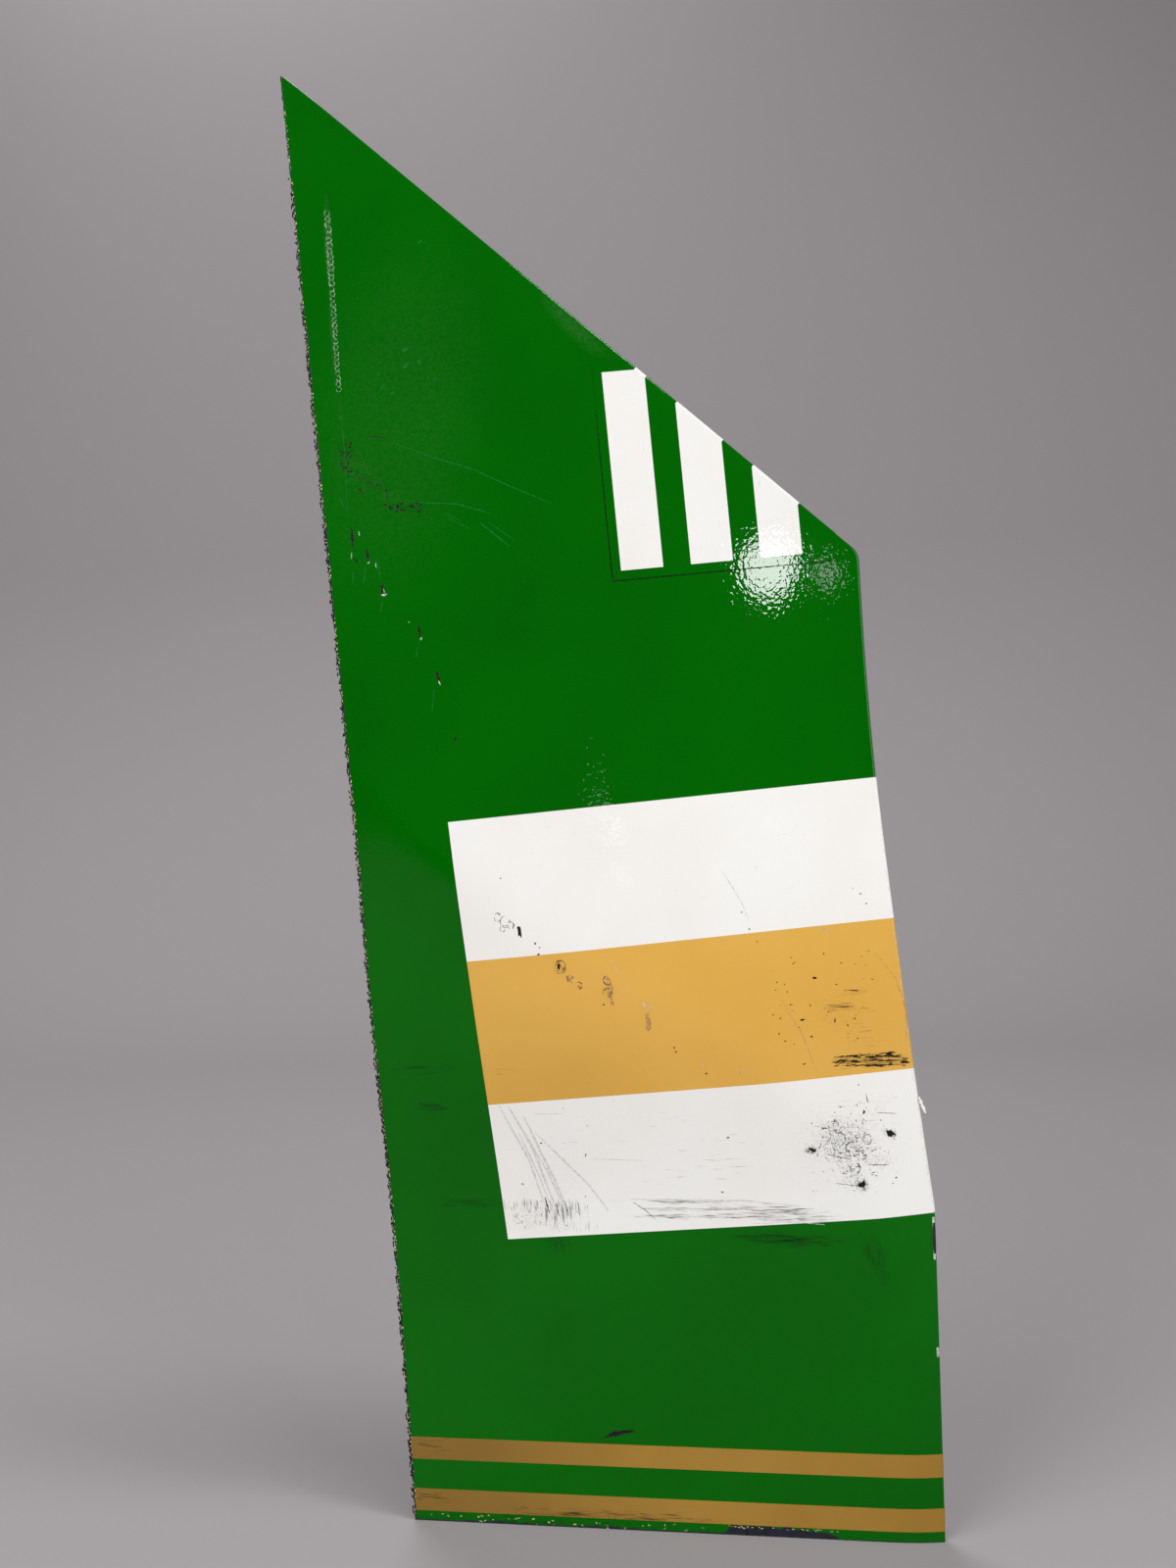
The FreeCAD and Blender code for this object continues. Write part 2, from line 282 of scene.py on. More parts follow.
class Shader:
    """A material and short ways to add nodes to it."""

    def __init__(self, name):
        self.material = bpy.data.materials.new(name)
        self.material.use_nodes = True
        self.nodes = self.material.node_tree.nodes
        self.links = self.material.node_tree.links
        self.surface = self.nodes["Principled BSDF"]
        self.place = self.nodes.new("ShaderNodeTexCoord").outputs["Object"]

    def noise(self, scale, detail=3.0, stretch=None, roughness=0.5):
        """Noise with a number of features for each metre."""
        node = self.nodes.new("ShaderNodeTexNoise")
        node.inputs["Scale"].default_value = scale
        node.inputs["Detail"].default_value = detail
        node.inputs["Roughness"].default_value = roughness
        place = self.place
        if stretch:
            mapping = self.nodes.new("ShaderNodeMapping")
            mapping.inputs["Scale"].default_value = stretch
            self.links.new(place, mapping.inputs["Vector"])
            place = mapping.outputs["Vector"]
        self.links.new(place, node.inputs["Vector"])
        return node.outputs["Fac"]

    def ramp(self, value, low, high, first=0.0, last=1.0):
        """A value spread from one range to another."""
        node = self.nodes.new("ShaderNodeMapRange")
        node.interpolation_type = "SMOOTHSTEP"
        self.links.new(value, node.inputs["Value"])
        node.inputs["From Min"].default_value = low
        node.inputs["From Max"].default_value = high
        node.inputs["To Min"].default_value = first
        node.inputs["To Max"].default_value = last
        return node.outputs["Result"]

    def maths(self, operation, first, second):
        """A sum on two values, each a socket or a number."""
        node = self.nodes.new("ShaderNodeMath")
        node.operation = operation
        for socket, value in zip(node.inputs, (first, second)):
            if isinstance(value, (int, float)):
                socket.default_value = value
            else:
                self.links.new(value, socket)
        return node.outputs["Value"]

    def checks(self, size):
        """Squares across and up the panel, the same at every depth."""
        mapping = self.nodes.new("ShaderNodeMapping")
        mapping.inputs["Scale"].default_value = (1 / size, 0, 1 / size)
        self.links.new(self.place, mapping.inputs["Vector"])
        node = self.nodes.new("ShaderNodeTexChecker")
        node.inputs["Scale"].default_value = 1
        self.links.new(mapping.outputs["Vector"], node.inputs["Vector"])
        return node.outputs["Fac"]

    def field(self, name):
        """A value painted on the mesh."""
        node = self.nodes.new("ShaderNodeAttribute")
        node.attribute_name = name
        return node.outputs["Fac"]

    def blend(self, factor, first, second):
        """A colour between two, each a socket or a colour."""
        node = self.nodes.new("ShaderNodeMix")
        node.data_type = "RGBA"
        self.links.new(factor, node.inputs["Factor"])
        for socket, value in ((node.inputs[6], first), (node.inputs[7], second)):
            if isinstance(value, tuple):
                socket.default_value = value
            else:
                self.links.new(value, socket)
        return node.outputs[2]

    def bump(self, height, strength, distance, below=None):
        """A bumped normal, on top of another one if it is given."""
        node = self.nodes.new("ShaderNodeBump")
        node.inputs["Strength"].default_value = strength
        node.inputs["Distance"].default_value = distance
        self.links.new(height, node.inputs["Height"])
        if below:
            self.links.new(below, node.inputs["Normal"])
        return node.outputs["Normal"]

    def feed(self, socket, value):
        """Give the surface's socket a number, a colour or another node's value."""
        if isinstance(value, (int, float, tuple)):
            self.surface.inputs[socket].default_value = value
        else:
            self.links.new(value, self.surface.inputs[socket])


def film_material(name, colour, shade, grime_and_shade_colour, haze_and_sheen_colour):
    """Gloss film with orange peel, faint unevenness, scuffs and grime, painted shade and a painted
    sheen.
    """
    shader = Shader(name)
    uneven = shader.ramp(shader.noise(14, 4), 0.35, 0.7)
    base = shader.blend(uneven, colour, shade)
    specks = shader.noise(1500, 5, roughness=0.7)
    spots = thickened(shader, specks, "grime")
    level_grain = shader.noise(1, 4, stretch=(110, 110, 1900), roughness=0.7)
    level = thickened(shader, level_grain, "level_scuffs")
    upright_grain = shader.noise(1, 4, stretch=(1900, 900, 160), roughness=0.7)
    upright = thickened(shader, upright_grain, "upright_scuffs")
    dirt = shader.maths("MAXIMUM", spots, shader.maths("MAXIMUM", level, upright))
    # The haze field pales the colour: a dull haze on scraped film, and on the green also a painted
    # sheen.
    veil_grain = shader.ramp(shader.noise(900, 5), 0.25, 0.75)
    veil = shader.maths("MULTIPLY", shader.field("haze_and_painted_sheen"), veil_grain)
    hazed_and_sheened = shader.blend(veil, base, haze_and_sheen_colour)
    # The shade field darkens the colour towards the grime colour as painted shade.
    darker = shader.blend(shader.field("shade"), hazed_and_sheened, grime_and_shade_colour)
    cover = shader.maths("MULTIPLY", dirt, 0.85)
    shader.feed("Base Color", shader.blend(cover, darker, grime_and_shade_colour))
    gloss = shader.ramp(shader.noise(60, 5, roughness=0.6), 0.3, 0.75, 0.02, 0.035)
    worn = shader.maths("ADD", gloss, shader.maths("MULTIPLY", dirt, 0.4))
    worn = shader.maths("ADD", worn, shader.maths("MULTIPLY", shader.field("haze_and_painted_sheen"), 0.5))
    shader.feed("Roughness", worn)
    shader.feed("Specular IOR Level", 0.19)
    peel = shader.bump(shader.noise(650, 1), 0.3, 0.09 * MM)
    ripple = shader.bump(shader.noise(60, 2), 0.08, 0.25 * MM, peel)
    shader.feed("Normal", ripple)
    return shader.material


def thickened(shader, grain, field):
    """Dirt that takes in more of the grain where a painted field is stronger."""
    reach = shader.maths("ADD", grain, shader.maths("MULTIPLY", shader.field(field), 0.32))
    return shader.ramp(reach, 0.66, 0.9)


TOW_WIDTH = 2.5 * MM


def laminate_material():
    """Dark fibre laminate: a plain weave of flat tows under uneven resin, the level tows painted
    brighter than the upright ones as a painted sheen.
    """
    shader = Shader("laminate")
    over = shader.checks(TOW_WIDTH)
    under = shader.maths("SUBTRACT", 1.0, over)
    upright = shader.maths("MULTIPLY", over, shader.noise(1, 3, stretch=(2400, 300, 150)))
    level = shader.maths("MULTIPLY", under, shader.noise(1, 3, stretch=(150, 300, 2400)))
    fibres = shader.maths("ADD", upright, level)
    # Painted sheen: one tow colour for each direction, brighter where the tows run level.
    tow_colours_with_sheen = shader.blend(over, linear(38, 37, 35), linear(17, 17, 18))
    fibrous = shader.blend(shader.ramp(fibres, 0.3, 0.65), linear(7, 7, 7), tow_colours_with_sheen)
    resin = shader.ramp(shader.noise(45, 5, roughness=0.65), 0.45, 0.75, 0.0, 0.6)
    shader.feed("Base Color", shader.blend(resin, fibrous, linear(20, 19, 17)))
    shader.feed("Roughness", shader.ramp(shader.noise(80, 4), 0.3, 0.7, 0.4, 0.7))
    woven = shader.bump(fibres, 0.5, 0.12 * MM)
    shader.feed("Normal", shader.bump(shader.noise(45, 5), 0.2, 0.8 * MM, woven))
    return shader.material


def paint_material():
    """Old navy paint that shows where the film is gone."""
    shader = Shader("dark_paint")
    patches = shader.ramp(shader.noise(500, 4), 0.4, 0.65)
    shader.feed("Base Color", shader.blend(patches, linear(20, 24, 44), linear(8, 9, 13)))
    shader.feed("Roughness", 0.45)
    return shader.material


# The first colour is for grime, and also for painted shade where a film has a shade field.
GRIME_AND_SHADE = linear(22, 20, 20)
OLIVE = linear(70, 112, 62)
PALE_VEIL = linear(206, 203, 200)
GREEN_GRIME = linear(4, 22, 6)
GREENS = linear(0, 94, 0), linear(0, 88, 1)
WHITES = linear(232, 231, 227), linear(228, 225, 221)
GOLDS = linear(216, 168, 80), linear(210, 161, 73)
DARK_GOLDS = linear(162, 124, 54), linear(150, 113, 46)
green_film = film_material("green_film", *GREENS, GREEN_GRIME, OLIVE)
white_film = film_material("white_film", *WHITES, GRIME_AND_SHADE, PALE_VEIL)
gold_film = film_material("gold_film", *GOLDS, GRIME_AND_SHADE, PALE_VEIL)
dark_gold_film = film_material("dark_gold_film", *DARK_GOLDS, GRIME_AND_SHADE, OLIVE)
laminate = laminate_material()
dark_paint = paint_material()


def mark_material(name, colour, other, roughness):
    """A mottled mark."""
    shader = Shader(name)
    mottle = shader.ramp(shader.noise(1400, 3), 0.35, 0.65)
    shader.feed("Base Color", shader.blend(mottle, colour, other))
    shader.feed("Roughness", roughness)
    shader.feed("Specular IOR Level", 0.2)
    shader.feed("Normal", shader.bump(shader.noise(1100, 3), 0.5, 0.1 * MM))
    return shader.material


rubber = mark_material("black_rub", linear(10, 9, 9), linear(36, 33, 31), 0.5)
pale_chip = mark_material("pale_chip", linear(205, 208, 198), linear(120, 135, 118), 0.4)
pale_green = mark_material("scraped_green", linear(6, 100, 26), linear(24, 114, 50), 0.3)
whorled = mark_material("whorled_scrape", linear(104, 142, 104), linear(172, 188, 172), 0.4)
grey_line = mark_material("grey_line", linear(190, 187, 186), linear(214, 211, 208), 0.4)
dark_green_line = mark_material("dark_green_line", linear(0, 14, 2), linear(0, 28, 4), 0.8)
pink_scrape = mark_material("pink_scrape", linear(204, 156, 96), linear(164, 118, 66), 0.45)


# The laminate plies and the paint

PLY_COLUMNS = np.concatenate([np.linspace(0, 0.03, 8)[:-1], np.linspace(0.03, 1, 60)])


def laminate_rows(right_inset, left_inset, foot):
    """Starts and ends of rows across the panel, from the foot to near the apex."""
    line = EDGE - OUTWARD * right_inset
    line = line[line[:, 0] - sawn_x(line[:, 1]) > 0.3 * MM]
    line = np.vstack([[line[0, 0], foot], line[line[:, 1] > foot + 0.2 * MM]])
    starts = np.stack([sawn_x(line[:, 1]), line[:, 1]], 1)
    starts[:, 0] += np.minimum(left_inset(line[:, 1]), (line[:, 0] - starts[:, 0]) * 0.5)
    return starts, line


def sawn_face(seed, sink):
    """How far a ply's sawn edge lies inside the outline: saw strokes and torn fibres."""
    def inset(z):
        strokes = 0.2 * MM * np.abs((z / (1.7 * MM)) % 2 - 1)
        torn = rough(z, 0.8 * MM, 0.28 * MM, seed) + rough(z, 7 * MM, 0.15 * MM, seed + 50)
        return sink + strokes + np.abs(torn)
    return inset


def add_ply(name, front, back, right_inset, seed):
    """One ply of the laminate between two depths behind its outer face."""
    starts, ends = laminate_rows(right_inset, sawn_face(seed, 0.1 * MM), 0.0)
    flat = between(starts, ends, PLY_COLUMNS)
    parts = [plate_parts(raised(flat, -front), raised(flat, -back))]
    return stand_for(add_mesh(f"rough_{name}", parts, laminate), name)


SKIN_INSET = 0.75 * MM
MIDDLE_INSET = 0.25 * MM
add_ply("outer_ply", 0.0, SKIN_PLY, SKIN_INSET, 11)
add_ply("middle_ply", SKIN_PLY, LAMINATE - SKIN_PLY, MIDDLE_INSET, 12)
add_ply("inner_ply", LAMINATE - SKIN_PLY, LAMINATE, SKIN_INSET, 13)


PAINT_FOOT = 0.4 * MM


def paint_inset(z):
    """How far the paint is chipped back from the sawn edge."""
    return 0.7 * MM + rough(z, 1.1 * MM, 0.25 * MM, 21)


def add_paint():
    """The old paint, chipped back from the sawn edge."""
    starts, ends = laminate_rows(SKIN_INSET, paint_inset, PAINT_FOOT)
    flat = between(starts, ends, PLY_COLUMNS)
    parts = [plate_parts(raised(flat, PAINT), raised(flat, 0.0))]
    piece = add_mesh("chipped_paint_coat", parts, dark_paint)
    return stand_for(piece, "dark_paint_coat")


add_paint()


# The green wrap film

FILM_COLUMNS = np.linspace(0, 1, 170)
# The film stops this far short of the layer under it, so that no two faces are in one place.
UNDER_GAP = 0.02 * MM
# The chip in the film's foot, across the panel.
CHIP_START = 32 * MM
CHIP_END = 72 * MM
CHIP_SLOPE = 2 * MM
CHIP_DEPTH = 2.6 * MM


def film_left_inset(z):
    """How far the film is frayed back from the sawn edge."""
    fray = rough(z, 0.9 * MM, 0.28 * MM, 31) + rough(z, 7 * MM, 0.2 * MM, 32)
    return 0.95 * MM + fray


def film_foot(x):
    """Height of the film's worn and chipped lower edge."""
    chips = rough(x, 1.6 * MM, 0.45 * MM, 33) + rough(x, 11 * MM, 0.4 * MM, 34)
    missing = CHIP_DEPTH * np.clip((x - CHIP_START) / CHIP_SLOPE, 0, 1)
    missing *= np.clip((CHIP_END - x) / CHIP_SLOPE, 0, 1)
    left_part = np.clip((CHIP_START + CHIP_SLOPE - x) / CHIP_SLOPE, 0, 1)
    return 0.45 * MM + left_part * (0.1 * MM + np.abs(chips)) + missing * (1 + chips / MM)


def settle_foot(flat):
    """Lift the lowest rows of the film to its worn lower edge."""
    blend = np.clip(1 - flat[..., 1] / (9 * MM), 0, 1)
    lifted = flat.copy()
    lifted[..., 1] += film_foot(flat[..., 0]) * blend
    return lifted


def hem_line():
    """The inner edge of the hem, point for point beside the turn line."""
    corner_at = len(LOWER_EDGE) + len(RIGHT_EDGE) - 2
    width = HEM_WIDTH - TURN_RADIUS
    inner = EDGE - OUTWARD * (FILM + width)
    right_way = OUTWARD[corner_at - 3 * CORNER_EASE]
    slant_way = OUTWARD[corner_at + 3 * CORNER_EASE]
    mitre = np.linalg.solve(np.array([right_way, slant_way]), -np.full(2, width)) + EDGE[corner_at]
    heights = np.linspace(0, mitre[1], corner_at)
    upright = np.stack([inner[:corner_at, 0], heights], 1)
    share = np.linspace(0, 1, len(EDGE) - corner_at)[:, None]
    slanted = mitre * (1 - share) + inner[-1] * share
    return np.vstack([upright, slanted])


def add_film():
    """The front sheet, its turn round the factory edges and the hem on the back."""
    ends = TURN_LINE
    hem = hem_line()
    uneven = rough(np.arange(len(ends)) * EDGE_STEP, 4 * MM, 0.5 * MM, 36)
    hem += OUTWARD * uneven[:, None] * np.clip(hem[:, 1:] / (20 * MM), 0, 1)
    keep = ends[:, 0] - sawn_x(ends[:, 1]) > 0.4 * MM
    ends = ends[keep]
    outward = OUTWARD[keep]
    hem = hem[keep]
    inset = np.minimum(film_left_inset(ends[:, 1]), (ends[:, 0] - sawn_x(ends[:, 1])) * 0.6)
    starts = np.stack([sawn_x(ends[:, 1]) + inset, ends[:, 1]], 1)
    hem[:, 0] = np.maximum(hem[:, 0], sawn_x(hem[:, 1]) + 0.6 * MM)
    flat = settle_foot(between(starts, ends, FILM_COLUMNS))
    hem_flat = between(ends, hem, np.linspace(0, 1, 9))[:, 1:]

    def face(lift, radius, hem_depth):
        turn = round_edge(ends, outward, radius, math.pi)
        return np.concatenate([raised(flat, lift), turn, raised(hem_flat, -hem_depth)], 1)

    outer = face(FILM_LIFT, TURN_RADIUS, LAMINATE + FILM)
    inner = face(PAINT + UNDER_GAP, TURN_RADIUS - FILM + UNDER_GAP, LAMINATE + UNDER_GAP)
    piece = add_mesh("worn_green_film", [plate_parts(outer, inner)], green_film)
    return stand_for(piece, "green_wrap_film")


green_piece = add_film()


# Bands and stripes

STRIPE_GAP = 0.005 * MM
TURNED_START = 0.5 * MM


def applied_parts(starts, ends, columns, lift, turns):
    """A thin piece of film on the panel, which may turn round the panel's edge."""
    thickness = STRIPE - STRIPE_GAP
    flat = between(starts, ends, np.linspace(0, 1, columns))
    outer = raised(flat, lift)
    inner = raised(flat, lift - thickness)
    if turns:
        outward = turn_outward(ends[:, 1])
        radius = lift + TURN_DEPTH
        inwards = np.linspace(TURNED_START, TURNED_OVER, 8)[None, :, None]
        over = ends[:, None] - outward[:, None] * inwards
        behind = radius + TURN_DEPTH
        turn = round_edge(ends, outward, radius, math.pi)
        outer = np.concatenate([outer, turn, raised(over, -behind)], 1)
        under = round_edge(ends, outward, radius - thickness, math.pi)
        inner = np.concatenate([inner, under, raised(over, thickness - behind)], 1)
    return plate_parts(outer, inner)


BAND_TOP_LEFT = np.array([LOW.x + 50.5 * MM, 260.5 * MM])
BAND_TILT = math.radians(4.0)
BAND_END_LEAN = math.radians(5.5)
BAND_WAY = np.array([math.cos(BAND_TILT), math.sin(BAND_TILT)])
BAND_ROW = 0.8 * MM
BAND_COLUMNS = 160
STRIPE_COLUMNS = 220


def add_band(name, material, top_drop, foot_drop):
    """A tilted band between two drops below the top of the bands."""
    count = round((foot_drop - top_drop) / BAND_ROW)
    drops = np.linspace(foot_drop, top_drop, count)
    starts = np.stack([drops * math.tan(BAND_END_LEAN), -drops], 1) + BAND_TOP_LEFT
    ends = run_to_edge(starts, BAND_WAY)
    parts = [applied_parts(starts, ends, BAND_COLUMNS, STRIPE_LIFT, True)]
    return stand_for(add_mesh(name, parts, material), f"{name}_band")


UPPER_DROP = 50 * MM
GOLD_DROP = UPPER_DROP + 53 * MM
LOWER_DROP = GOLD_DROP + 51 * MM
upper_white = add_band("upper_white", white_film, 0.0, UPPER_DROP)
gold = add_band("gold", gold_film, UPPER_DROP, GOLD_DROP)
lower_white = add_band("lower_white", white_film, GOLD_DROP, LOWER_DROP)


def add_stripe(name, node):
    """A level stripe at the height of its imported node."""
    low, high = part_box(node)
    heights = np.linspace(low.z, high.z, 12)
    starts = np.stack([sawn_x(heights) + film_left_inset(heights) + 0.1 * MM, heights], 1)
    ends = run_to_edge(starts, np.array([1.0, 0.0]))
    parts = [applied_parts(starts, ends, STRIPE_COLUMNS, STRIPE_LIFT, True)]
    return stand_for(add_mesh(name, parts, dark_gold_film), node)


upper_stripe = add_stripe("upper_stripe", "upper_pinstripe")
lower_stripe = add_stripe("lower_stripe", "lower_pinstripe")


# The decal of slanting bars

DECAL_START = np.array([6.0 * MM + LOW.x + 109 * MM, 348.2 * MM])
DECAL_TILT = math.radians(3.7)
ALONG = np.array([math.cos(DECAL_TILT), math.sin(DECAL_TILT)])
UPWARD = np.array([-math.sin(DECAL_TILT), math.cos(DECAL_TILT)])
BAR_WIDTH = 15.2 * MM
BAR_PITCH = 25.2 * MM
BAR_LENGTH = 71 * MM
BACKING_MARGIN = 3.2 * MM
BACKING_ROUND = 3 * MM


def block_parts(along, feet, top, lift):
    """A block of the decal, level at its own top or cut off by the slanting edge."""
    starts = DECAL_START + along[:, None] * ALONG + feet[:, None] * UPWARD
    edge = run_to_edge(starts, UPWARD)
    own_top = DECAL_START + along[:, None] * ALONG + top * UPWARD
    reaches = (edge - own_top) @ UPWARD < 0
    parts = []
    for turns in (False, True):
        chosen = np.flatnonzero(reaches == turns)
        if turns and len(chosen) < len(along):
            chosen = np.concatenate([[chosen[0] - 1], chosen])
        if len(chosen) > 1:
            ends = edge if turns else own_top
            order = chosen[::-1]
            parts.append(applied_parts(starts[order], ends[order], 90, lift, turns))
    return parts


def add_backing():
    """Green backing cut along a smooth contour round the bars."""
    far = BAR_PITCH * 2 + BAR_WIDTH + 12 * MM
    along = np.linspace(-BACKING_MARGIN, far, 200)
    into = np.clip(BACKING_ROUND - (along + BACKING_MARGIN), 0, None)
    feet = -BACKING_MARGIN + BACKING_ROUND - np.sqrt(BACKING_ROUND**2 - into**2)
    parts = block_parts(along, feet, BAR_LENGTH + BACKING_MARGIN, STRIPE_LIFT)
    piece = add_mesh("contour_backing", parts, green_film)
    return stand_for(piece, "decal_backing")


def add_bar(place, name):
    """One white bar."""
    along = place * BAR_PITCH + np.linspace(0, BAR_WIDTH, 40)
    parts = block_parts(along, np.zeros(len(along)), BAR_LENGTH, BAR_LIFT)
    return stand_for(add_mesh(f"white_{name}", parts, white_film), f"decal_{name}")


add_backing()
for number, bar_name in enumerate(["long_bar", "middle_bar", "short_bar"]):
    add_bar(number, bar_name)


# Marks: places and sizes here are millimetres across and up the panel

def fleck_parts(spots, lift, seed):
    """Small jagged patches. A spot is its x, z, length, width and tilt in degrees."""
    random = np.random.default_rng(seed)
    parts = []
    for x, z, length, width, tilt in spots:
        angles = np.linspace(0, 2 * math.pi, 15)[:-1]
        reach = random.uniform(0.5, 1.0, len(angles)) / 2
        along = length * reach * np.cos(angles)
        across = width * reach * np.sin(angles)
        turn = math.radians(tilt)
        rim_x = x + along * math.cos(turn) - across * math.sin(turn)
        rim_z = z + along * math.sin(turn) + across * math.cos(turn)
        flat = np.stack([np.append(rim_x, x), np.append(rim_z, z)], 1) * MM
        rim = np.arange(len(angles))
        middle = np.full(len(angles), len(angles))
        parts.append((raised(flat, lift), np.stack([middle, rim, np.roll(rim, -1)], 1)))
    return parts


def stroke_parts(strokes, lift, seed):
    """Ragged ribbons that thin out at their ends. A stroke is its width and its points."""
    random = np.random.default_rng(seed)
    parts = []
    for width, *corners in strokes:
        corners = np.array(corners) * MM
        lengths = np.linalg.norm(np.diff(corners, axis=0), axis=1)
        stations = np.concatenate([[0], np.cumsum(lengths)])
        count = max(6, round(stations[-1] / (0.5 * MM)))
        along = np.linspace(0, stations[-1], count)
        middle = np.stack([np.interp(along, stations, corners[:, i]) for i in (0, 1)], 1)
        middle += random.uniform(-0.1, 0.1, (count, 2)) * min(width, 1.0) * MM
        way = np.gradient(middle, axis=0)
        way /= np.linalg.norm(way, axis=1)[:, None]
        side = np.stack([-way[:, 1], way[:, 0]], 1)
        taper = np.sin(math.pi * np.linspace(0.05, 0.95, count)) ** 0.5
        half = (width / 2 * MM * taper * random.uniform(0.35, 1.0, count))[:, None]
        flat = np.stack([middle + side * half, middle - side * half], 1)
        parts.append((raised(flat, lift).reshape(-1, 3), quads(count, 2)))
    return parts


# Ranges of tilt in degrees, and of width as a share of length.
ANY_WAY = (0, 180)
LEVEL = (-15, 15)
ROUNDISH = (0.35, 0.9)
THIN = (0.12, 0.3)


def scattered(count, x_range, z_range, longest, seed, tilt=ANY_WAY, thinness=ROUNDISH):
    """Random spots in a region, most of them small."""
    random = np.random.default_rng(seed)
    length = longest * random.uniform(0.25, 1.0, count) ** 2
    return np.stack([
        random.uniform(*x_range, count),
        random.uniform(*z_range, count),
        length,
        length * random.uniform(*thinness, count),
        random.uniform(*tilt, count),
    ], 1)


def add_marks(name, parts, material):
    """One object for marks of one kind."""
    piece = add_mesh(name, parts, material)
    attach(piece, "root")
    return piece


def paint_field(piece, name, patches):
    """Store soft patches on a piece: each x, z, half length, half width, tilt and strength."""
    mesh = piece.data
    points = np.empty(len(mesh.vertices) * 3)
    mesh.vertices.foreach_get("co", points)
    x, _, z = points.reshape(-1, 3).T / MM
    value = np.zeros(len(mesh.vertices))
    for centre_x, centre_z, half_length, half_width, tilt, strength in patches:
        turn = math.radians(tilt)
        along = (x - centre_x) * math.cos(turn) + (z - centre_z) * math.sin(turn)
        across = (z - centre_z) * math.cos(turn) - (x - centre_x) * math.sin(turn)
        distance = np.hypot(along / half_length, across / half_width)
        value = np.maximum(value, strength * np.clip(1.5 - distance, 0, 1))
    mesh.attributes.new(name, "FLOAT", "POINT").data.foreach_set("value", value)


# Soft dirt, haze, painted sheen and painted shade in the films

paint_field(green_piece, "haze_and_painted_sheen", [
    (-93.5, 465, 13, 1.1, 91, 0.75),
    (-93, 434, 16, 0.8, 92, 0.5),
    (-91, 404, 8, 0.9, 96, 0.2),
    (-86, 386, 10, 6, -40, 0.2),
    (-74, 376, 9, 3, -15, 0.16),
    # Painted sheen: a pale reflection along the slanted edge.
    (-8, 436, 12, 3, -46, 0.3),
    # Painted sheen: a soft pale reflection over the upper left of the green.
    (-72, 405, 50, 24, 78, 0.12),
])
paint_field(green_piece, "grime", [
    (-90, 391, 6, 2.2, -80, 0.62),
    (-82, 382, 9, 2.2, -35, 0.6),
    (-70, 373, 7, 1.6, -8, 0.6),
    (-26, 106, 4, 5, 0, 0.7),
    (52, 108, 16, 2.5, -3, 0.62),
    (88, 100, 12, 3, -70, 0.6),
    (-60, 121, 14, 1.5, 0, 0.5),
])
paint_field(green_piece, "level_scuffs", [
    (-73, 171, 14, 1.8, 0, 0.75),
    (-70, 157, 8, 2, -8, 0.8),
    (-57, 120, 12, 2, 0, 0.8),
    (56, 108, 22, 3, -2, 0.8),
    (70, 60, 20, 12, 0, 0.3),
    (-30, 2, 52, 2.2, 0, 0.6),
])
paint_field(green_piece, "upright_scuffs", [
    (-25, 105, 5, 5, 0, 0.6),
    (87, 104, 5, 9, 20, 0.6),
])
paint_field(upper_white, "grime", [(-40, 224.5, 4, 4, 0, 0.35), (88, 229, 6, 6, 0, 0.2)])
paint_field(gold, "grime", [
    (-20.5, 207.5, 2.2, 3.2, 0, 0.75),
    (-4, 200, 2, 5, 10, 0.6),
    (80, 190, 10, 9, 0, 0.33),
    (90, 171.5, 12, 3, 0, 0.6),
])
paint_field(gold, "level_scuffs", [
    (88, 171.5, 14, 2.6, 0, 0.85),
    (78, 190.5, 8, 2.2, 0, 0.7),
    (84, 195.5, 6, 1.6, -5, 0.7),
    (-40, 170.5, 14, 1.2, 0, 0.55),
    (86, 182, 10, 8, 0, 0.35),
])
# Painted shade: the gold darker below and left of the panel's crease.
paint_field(gold, "shade", [(-24, 162, 46, 24, -38, 0.09)])
paint_field(lower_white, "grime", [
    (78, 143, 12, 9, -15, 0.66),
    (80, 131, 5, 7, 20, 0.62),
    (90, 136, 7, 2.5, 0, 0.55),
    (94, 145.5, 3.2, 2.0, -25, 0.85),
    (66, 140.5, 2.6, 1.8, 0, 1.0),
    (83.5, 127.5, 2.6, 2.6, 0, 0.9),
    (-36, 114, 12, 5, 0, 0.5),
    (88, 156, 9, 5, 0, 0.38),
])
paint_field(lower_white, "level_scuffs", [
    (24, 121.5, 26, 1.0, 0, 0.75),
    (28, 118.5, 26, 1.2, 0, 0.7),
    (30, 116, 26, 1.4, 0, 0.8),
    (56, 117, 22, 4, -3, 0.72),
    (80, 150, 18, 12, 0, 0.35),
    (20, 140, 34, 14, 0, 0.22),
])
paint_field(lower_white, "upright_scuffs", [
    (-36, 119, 10, 3, 0, 0.6),
    (-24, 117, 10, 5, 0, 0.68),
    (-20, 112, 12, 3, 0, 0.5),
])
paint_field(lower_white, "haze_and_painted_sheen", [(-26, 128, 12, 20, -20, 0.25), (78, 140, 18, 14, 0, 0.3)])

paint_field(lower_stripe, "level_scuffs", [(-10, 5, 44, 2.6, 0, 0.7), (-76, 8, 8, 4, 0, 0.6)])
paint_field(lower_stripe, "grime", [(-10, 4, 44, 1.8, 0, 0.5)])
# Painted shade: both stripes darker towards their left ends.
paint_field(lower_stripe, "shade", [(-85, 8, 70, 30, 0, 0.32)])
paint_field(upper_stripe, "shade", [(-85, 28, 60, 30, 0, 0.4)])
paint_field(upper_stripe, "level_scuffs", [(-76, 28, 8, 4, 0, 0.5)])

# Marks in the green film

